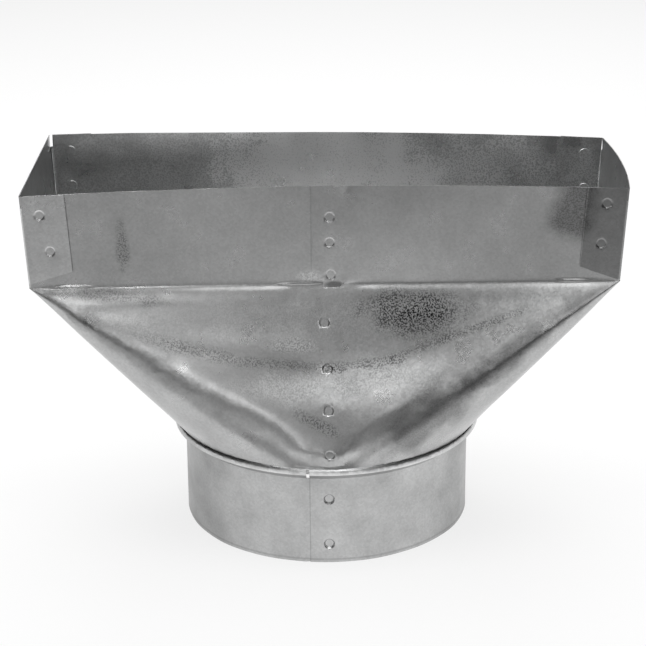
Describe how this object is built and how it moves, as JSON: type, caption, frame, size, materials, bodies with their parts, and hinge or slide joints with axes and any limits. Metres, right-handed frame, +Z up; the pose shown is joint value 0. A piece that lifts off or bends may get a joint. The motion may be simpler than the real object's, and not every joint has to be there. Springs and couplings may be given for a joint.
{
  "type": "round register boot",
  "caption": "Straight sheet-metal register boot: an open rectangular box that narrows through a square-to-round transition to a round duct collar.",
  "frame": {"origin": "centre of the collar's lower edge, on the duct's axis", "axes": "+Z up the duct's axis to the register opening, +X along the long side of the opening, lap seam at -Y"},
  "size_m": [0.3092, 0.1662, 0.1976],
  "materials": {
    "galvanised_body": "galvanised sheet with a fine mottled spangle, light stains and handling marks",
    "galvanised_collar": "galvanised sheet, rolled, a little paler and duller than the body"
  },
  "bodies": {
    "root": {"boot_body": "galvanised_body", "round_collar": "galvanised_collar"}
  },
  "joints": []
}
